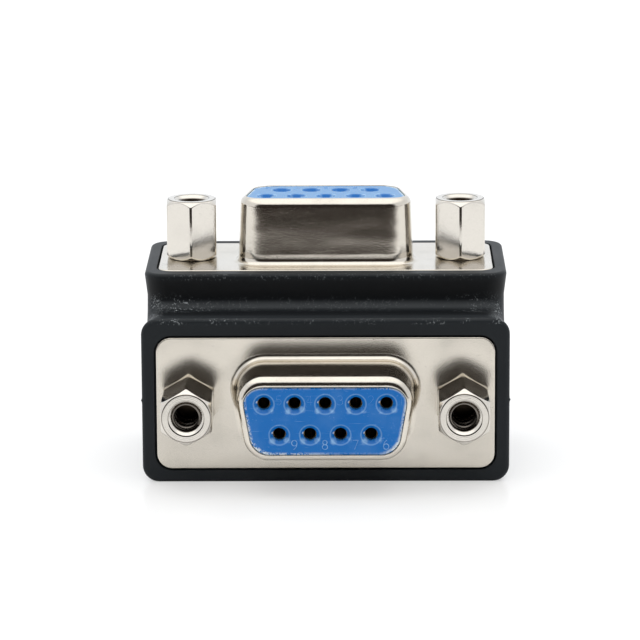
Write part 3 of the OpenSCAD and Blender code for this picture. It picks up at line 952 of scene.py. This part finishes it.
def set_inputs(piece, graph, values):
    """Add the tree to an object and set its inputs by their identifiers."""
    modifier = piece.modifiers.new(graph.tree.name, "NODES")
    modifier.node_group = graph.tree
    for item in graph.tree.interface.items_tree:
        if item.item_type == "SOCKET" and item.in_out == "INPUT" and item.name in values:
            modifier[item.identifier] = values[item.name]


def posts_tree():
    """Four posts, each with a thread wound in its hole, on the two flanges."""
    graph, given = tree_with("jackscrew_posts", {
        "Span": "Float", "Thread Radius": "Float", "Thread Ridge": "Float", "Thread Turns": "Float",
        "Thread Length": "Float", "Thread Start": "Vector", "Front Place": "Vector", "Top Place": "Vector",
        "Finish": "Material"})
    coil = graph.node("GeometryNodeCurveSpiral", None, {
        "Resolution": 40, "Rotations": given["Thread Turns"], "Start Radius": given["Thread Radius"],
        "End Radius": given["Thread Radius"], "Height": given["Thread Length"]})
    ridge = graph.node("GeometryNodeCurvePrimitiveCircle", {"mode": "RADIUS"},
                       {"Resolution": 6, "Radius": given["Thread Ridge"]})
    thread = graph.node("GeometryNodeCurveToMesh", None, {
        "Curve": coil.outputs[0], "Profile Curve": ridge.outputs[0], "Fill Caps": True})
    smooth = graph.node("GeometryNodeSetShadeSmooth", None, {0: thread.outputs[0]})
    # Marks the thread for the painted shade of the hole
    marked = graph.node("GeometryNodeStoreNamedAttribute", {"data_type": "FLOAT", "domain": "POINT"},
                        {0: smooth.outputs[0], "Name": "hole", "Value": 0.8})
    raised = graph.node("GeometryNodeTransform", None, {
        0: marked.outputs[0], "Translation": given["Thread Start"]})
    post = graph.node("GeometryNodeJoinGeometry")
    graph.feed(post.inputs[0], given["Geometry"])
    graph.feed(post.inputs[0], raised.outputs[0])
    half = graph.node("ShaderNodeMath", {"operation": "MULTIPLY"}, {0: given["Span"], 1: -0.5})
    start = graph.node("ShaderNodeCombineXYZ", None, {0: half.outputs[0]})
    step = graph.node("ShaderNodeCombineXYZ", None, {0: given["Span"]})
    line = graph.node("GeometryNodeMeshLine", {"mode": "OFFSET"}, {
        "Count": 2, "Start Location": start.outputs[0], "Offset": step.outputs[0]})
    pair = graph.node("GeometryNodeInstanceOnPoints", None, {
        "Points": line.outputs[0], "Instance": post.outputs[0]})
    both = graph.node("GeometryNodeJoinGeometry")
    for place, turn in (("Front Place", (math.pi / 2, 0, 0)), ("Top Place", (0, 0, math.pi))):
        moved = graph.node("GeometryNodeTransform", None, {
            0: pair.outputs[0], "Translation": given[place], "Rotation": turn})
        graph.feed(both.inputs[0], moved.outputs[0])
    real = graph.node("GeometryNodeRealizeInstances", None, {0: both.outputs[0]})
    painted = graph.node("GeometryNodeSetMaterial", None, {0: real.outputs[0], "Material": given["Finish"]})
    graph.node("NodeGroupOutput", None, {0: painted.outputs[0]})
    return graph


# Moulded numbers

def digit_strokes():
    """Strokes of the digits one to nine, in a box of width 0.6 and height 1."""

    def bow(x, y, rx, ry, start, end, steps=14):
        return [(x + rx * math.cos(math.radians(a)), y + ry * math.sin(math.radians(a)))
                for a in arc(start, end, steps)]

    return {
        1: [[(0.12, 0.78), (0.33, 1.0), (0.33, 0.0)]],
        2: [bow(0.3, 0.72, 0.27, 0.28, 165, -35) + [(0.03, 0.0), (0.58, 0.0)]],
        3: [bow(0.28, 0.76, 0.25, 0.24, 150, -96), bow(0.28, 0.26, 0.29, 0.26, 84, -150)],
        4: [[(0.44, 0.0), (0.44, 1.0), (0.02, 0.3), (0.6, 0.3)]],
        5: [[(0.54, 1.0), (0.12, 1.0), (0.07, 0.54)], bow(0.28, 0.32, 0.29, 0.31, 130, -150)],
        6: [bow(0.3, 0.3, 0.28, 0.3, 180, 540, 20), bow(0.52, 0.3, 0.5, 0.72, 180, 105)],
        7: [[(0.02, 1.0), (0.58, 1.0), (0.2, 0.0)]],
        8: [bow(0.3, 0.76, 0.23, 0.24, -90, 270, 20), bow(0.3, 0.26, 0.28, 0.26, 99, 459, 20)],
        9: [bow(0.3, 0.7, 0.28, 0.3, 0, 360, 20), bow(0.08, 0.7, 0.5, 0.72, 0, -75)],
    }


def number_strokes(sizes):
    """Strokes of all the numbers in the connectors' frame, beside their sockets."""
    face = sizes.shell_depth - sizes.face_inset
    shapes = digit_strokes()
    strokes = []
    for number, (x, y) in enumerate(contact_places(sizes), 1):
        in_wide_row = number <= 5
        left = x + sizes.digit_beside
        low = y + (sizes.digit_wide if in_wide_row else sizes.digit_narrow)
        # The wide row's lines lie almost wholly in the face. The narrow row's stand out by half their radius.
        sunk = 0.93 if in_wide_row else 0.5
        level = face - sizes.digit_line * sunk
        for stroke in shapes[number]:
            strokes.append([(left + across * sizes.digit_h, low + up * sizes.digit_h, level)
                            for across, up in stroke])
    return strokes


def number_curve(sizes):
    """Curve with the strokes on both faces. A stroke that ends where it starts is a closed one."""
    lines = bpy.data.curves.new("number_lines", "CURVE")
    lines.dimensions = "3D"
    closed_gap = 0.001 * MM
    for where in FRAMES.values():
        for stroke in number_strokes(sizes):
            spline = lines.splines.new("POLY")
            if math.dist(stroke[0], stroke[-1]) < closed_gap:
                stroke = stroke[:-1]
                spline.use_cyclic_u = True
            spline.points.add(len(stroke) - 1)
            for point, place in zip(spline.points, stroke):
                point.co = (*(where @ Vector(place)), 1)
    return lines


def numbers_tree():
    """Round strokes along the digits' lines."""
    graph, given = tree_with("moulded_numbers", {"Line Radius": "Float", "Finish": "Material"})
    profile = graph.node("GeometryNodeCurvePrimitiveCircle", {"mode": "RADIUS"},
                         {"Resolution": 8, "Radius": given["Line Radius"]})
    tube = graph.node("GeometryNodeCurveToMesh", None, {
        "Curve": given["Geometry"], "Profile Curve": profile.outputs[0], "Fill Caps": True})
    smooth = graph.node("GeometryNodeSetShadeSmooth", None, {0: tube.outputs[0]})
    real = graph.node("GeometryNodeRealizeInstances", None, {0: smooth.outputs[0]})
    painted = graph.node("GeometryNodeSetMaterial", None, {0: real.outputs[0], "Material": given["Finish"]})
    graph.node("NodeGroupOutput", None, {0: painted.outputs[0]})
    return graph


# Stage

def aim_camera():
    """Camera at the photograph's place: a long lens, a little above the part."""
    distance = 356.057 * MM
    lift = math.radians(13.009)
    round_z = math.radians(0.560)
    roll = math.radians(-0.279)
    aim = Vector((-0.526 * MM, -1.575 * MM, 14.064 * MM))
    back = Vector((math.sin(round_z) * math.cos(lift), -math.cos(round_z) * math.cos(lift), math.sin(lift)))
    right = Vector((math.cos(round_z), math.sin(round_z), 0))
    up = Vector((-math.sin(round_z) * math.sin(lift), math.cos(round_z) * math.sin(lift), math.cos(lift)))
    turned_right = right * math.cos(roll) + up * math.sin(roll)
    turned_up = up * math.cos(roll) - right * math.sin(roll)
    place = aim + back * distance
    frame_px = 640
    focal_px = 3867.783
    sensor = 36
    data = bpy.data.cameras.new("camera")
    data.sensor_width = sensor
    data.lens = sensor * focal_px / frame_px
    data.clip_start = 5 * MM
    camera = add_object("camera", data)
    camera.matrix_world = Matrix((
        (turned_right.x, turned_up.x, back.x, place.x),
        (turned_right.y, turned_up.y, back.y, place.y),
        (turned_right.z, turned_up.z, back.z, place.z),
        (0, 0, 0, 1)))
    bpy.context.scene.camera = camera


def table_finish(colours):
    """White glossy table. Away from the part, on the camera's side, other surfaces see it end."""
    paint = Finish("white_table")
    y = paint.parts(paint.where)[1]
    dim_table = (0.12, 0.10, 0.088, 1)
    dark_table = (0.02, 0.016, 0.013, 1)
    seen = Field(paint, paint.node("ShaderNodeLightPath").outputs["Is Camera Ray"])
    beyond = y.rise(-96 * MM, -140 * MM) * (1 - seen)
    far = y.rise(-130 * MM, -190 * MM) * (1 - seen)
    nearer = paint.blend(beyond, (*colours.floor, 1), dim_table)
    paint.set(Base_Color=paint.blend(far, nearer, dark_table),
              Roughness=0.22, IOR=1.38, Specular_IOR_Level=0.16)
    white = paint.node("ShaderNodeEmission", None, {"Color": (1, 1, 1, 1), "Strength": 1.0})
    mixed = paint.node("ShaderNodeMixShader", None,
                       {0: 0.42 * seen, 1: paint.shader.outputs[0], 2: white.outputs[0]})
    paint.feed(paint.output.inputs["Surface"], mixed.outputs[0])
    return paint.material


def make_world():
    """White for the camera. Other rays see a bright room with a dark camera side."""
    world = bpy.data.worlds.new("studio")
    bpy.context.scene.world = world
    world.use_nodes = True
    graph = Graph(world.node_tree)
    world.node_tree.nodes.clear()
    white = (1, 1, 1, 1)
    walls = (0.99, 1.0, 1.02, 1)
    rear_wall = (1.06, 1.1, 1.15, 1)
    ceiling = (1.6, 1.6, 1.58, 1)
    dark_side = (0.035, 0.03, 0.027, 1)
    y, z = graph.parts(graph.node("ShaderNodeTexCoord").outputs["Generated"])[1:]
    level = graph.blend(y.rise(0.3, 0.8), walls, rear_wall)
    bright = graph.blend(z.rise(0.55, 0.85), level, ceiling)
    room = graph.blend(y.rise(-0.55, -0.8) * z.rise(0.66, 0.54), bright, dark_side)
    seen = graph.node("ShaderNodeLightPath").outputs["Is Camera Ray"]
    shown = graph.blend(seen, room, white)
    light = graph.node("ShaderNodeBackground", None, {"Color": shown, "Strength": 1.0})
    graph.node("ShaderNodeOutputWorld", None, {"Surface": light.outputs[0]})


def add_table(colours):
    """Flat table under the part, which isn't part of it."""
    half = 1.5
    corners = [(-half, -half, 0), (half, -half, 0), (half, half, 0), (-half, half, 0)]
    data = bpy.data.meshes.new("table")
    data.from_pydata(corners, [], [(0, 1, 2, 3)])
    data.materials.append(table_finish(colours))
    table = add_object("table", data)


def add_lamp(name, place, aim, size, watts):
    """Round soft lamp that no reflection shows."""
    data = bpy.data.lights.new(name, "AREA")
    data.shape = "DISK"
    data.size = size
    data.energy = watts
    lamp = add_object(name, data)
    lamp.location = place
    lamp.rotation_euler = (Vector(aim) - Vector(place)).to_track_quat("-Z", "Y").to_euler()
    lamp.visible_glossy = False
    lamp.visible_camera = False


# Operators

class PieceOperator:
    """Shared settings of the operators that make pieces."""
    bl_options = {"REGISTER", "UNDO"}

    @property
    def sizes(self):
        return bpy.context.scene.adapter_sizes

    @property
    def colours(self):
        return bpy.context.scene.adapter_colours


class ADAPTER_OT_stage(PieceOperator, bpy.types.Operator):
    """Make the table, the light and the camera"""
    bl_idname = "adapter.stage"
    bl_label = "Stage"

    def execute(self, context):
        context.scene.view_settings.view_transform = "Standard"
        make_world()
        add_table(self.colours)
        add_lamp("overhead", place=(0, -0.09, 0.45), aim=(0, 0, 0.01), size=0.4, watts=0.2)
        add_lamp("front_fill", place=(0, -0.4, 0.22), aim=(0, 0, 0.012), size=0.3, watts=0.3)
        aim_camera()
        return {"FINISHED"}


class ADAPTER_OT_body(PieceOperator, bpy.types.Operator):
    """Make the moulded body"""
    bl_idname = "adapter.body"
    bl_label = "Body"

    def execute(self, context):
        material = moulded_black(self.colours)
        body = add_object("moulded_body", body_mesh(self.sizes, material))
        carry(body, "body_black", "body")
        return {"FINISHED"}


class ADAPTER_OT_shells(PieceOperator, bpy.types.Operator):
    """Make the two drawn shells with their flanges"""
    bl_idname = "adapter.shells"
    bl_label = "Shells"

    def execute(self, context):
        material = plated_nickel("plated_sheet", self.colours.nickel, self.colours, self.sizes, is_post=False)
        for side, where in FRAMES.items():
            name = side + "_drawn_shell"
            shell = add_object(name, shell_mesh(self.sizes, where, name, material))
            carry(shell, "shell_nickel", side + "_shell")
        dress(material, "front_rear_shell", "top_rear_shell")
        return {"FINISHED"}


class ADAPTER_OT_insulators(PieceOperator, bpy.types.Operator):
    """Make the blue insulators and their moulded numbers"""
    bl_idname = "adapter.insulators"
    bl_label = "Insulators"

    def execute(self, context):
        material = blue_insulator(self.colours, self.sizes)
        for side, where in FRAMES.items():
            name = side + "_blue_insulator"
            piece = add_object(name, insulator_mesh(self.sizes, where, name, material))
            carry(piece, "insulator_blue", side + "_insulator")
        dress(material, "front_rear_insulator", "top_rear_insulator")
        drawing = add_object("number_lines", number_curve(self.sizes))
        finish = number_line(self.colours)
        set_inputs(drawing, numbers_tree(), {"Line Radius": self.sizes.digit_line, "Finish": finish})
        numbers = add_object("moulded_numbers", evaluated_mesh(drawing, "moulded_numbers"))
        carry(numbers, "insulator_blue")
        return {"FINISHED"}


class ADAPTER_OT_posts(PieceOperator, bpy.types.Operator):
    """Make the four jackscrew posts with their threads"""
    bl_idname = "adapter.posts"
    bl_label = "Posts"

    def execute(self, context):
        sizes = self.sizes
        material = plated_nickel("plated_post", self.colours.post, self.colours, sizes, is_post=True)
        post = add_object("post", post_mesh(sizes, material))
        bevel = post.modifiers.new("edges", "BEVEL")
        bevel.width = sizes.hex_edge
        bevel.segments = 2
        bevel.limit_method = "ANGLE"
        bevel.angle_limit = math.radians(24)
        thread_len = sizes.tap_depth - sizes.thread_less
        set_inputs(post, posts_tree(), {
            "Span": sizes.screw_span, "Thread Radius": sizes.tap_wall, "Thread Ridge": sizes.thread_ridge,
            "Thread Turns": thread_len / sizes.thread_pitch, "Thread Length": thread_len,
            "Thread Start": (0, 0, sizes.hex_len - sizes.tap_depth + sizes.thread_lift),
            "Front Place": (0, FACE_Y, AXIS_Z), "Top Place": (0, AXIS_Y, TOP_Z), "Finish": material})
        posts = add_object("jackscrew_posts", evaluated_mesh(post, "jackscrew_posts"))
        smooth_mesh(posts.data, 30)
        flats = [(math.cos(turn), math.sin(turn), 0) for turn in arc(0, 2 * math.pi, 6)[:-1]]
        for where in FRAMES.values():
            flatten(posts.data, [where.to_3x3() @ Vector(way) for way in flats + [(0, 0, 1)]])
        carry(posts, "post_nickel", "jackscrews")
        dress(material, "clinch_nuts")
        return {"FINISHED"}


class ADAPTER_OT_inside(PieceOperator, bpy.types.Operator):
    """Finish the contacts, the wires and the inner mould"""
    bl_idname = "adapter.inside"
    bl_label = "Inside"

    def execute(self, context):
        numbers = range(1, 10)
        contacts = [f"{side}_contact_{i}" for side in FRAMES for i in numbers]
        # The gold contacts' dark colour is painted shade
        dress(plain_metal("gold_contact", self.colours.contact, 0.25), *contacts)
        dress(plain_metal("tinned_wire", self.colours.wire, 0.3), *[f"wire_{i}" for i in numbers])
        dress(inner_plastic(self.colours), "inner_mould")
        return {"FINISHED"}


class ADAPTER_PT_panel(bpy.types.Panel):
    """Lists the operators"""
    bl_idname = "ADAPTER_PT_panel"
    bl_label = "Right-angle adapter"
    bl_space_type = "VIEW_3D"
    bl_region_type = "UI"
    bl_category = "Adapter"

    def draw(self, context):
        for operator in OPERATORS:
            self.layout.operator(operator.bl_idname)
        for group in (context.scene.adapter_sizes, context.scene.adapter_colours):
            for key in group.bl_rna.properties.keys():
                if key not in ("rna_type", "name"):
                    self.layout.prop(group, key)


OPERATORS = (ADAPTER_OT_stage, ADAPTER_OT_body, ADAPTER_OT_shells, ADAPTER_OT_insulators, ADAPTER_OT_posts,
             ADAPTER_OT_inside)
CLASSES = (AdapterSizes, AdapterColours, *OPERATORS, ADAPTER_PT_panel)


def register():
    """Make the classes and the scene's settings known."""
    for item in CLASSES:
        bpy.utils.register_class(item)
    bpy.types.Scene.adapter_sizes = PointerProperty(type=AdapterSizes)
    bpy.types.Scene.adapter_colours = PointerProperty(type=AdapterColours)


def unregister():
    """Take the settings and the classes away."""
    del bpy.types.Scene.adapter_colours
    del bpy.types.Scene.adapter_sizes
    for item in reversed(CLASSES):
        bpy.utils.unregister_class(item)


def main():
    """Make all the pieces in order."""
    register()
    bpy.ops.adapter.stage()
    bpy.ops.adapter.body()
    bpy.ops.adapter.shells()
    bpy.ops.adapter.insulators()
    bpy.ops.adapter.posts()
    bpy.ops.adapter.inside()


if __name__ == "__main__":
    main()
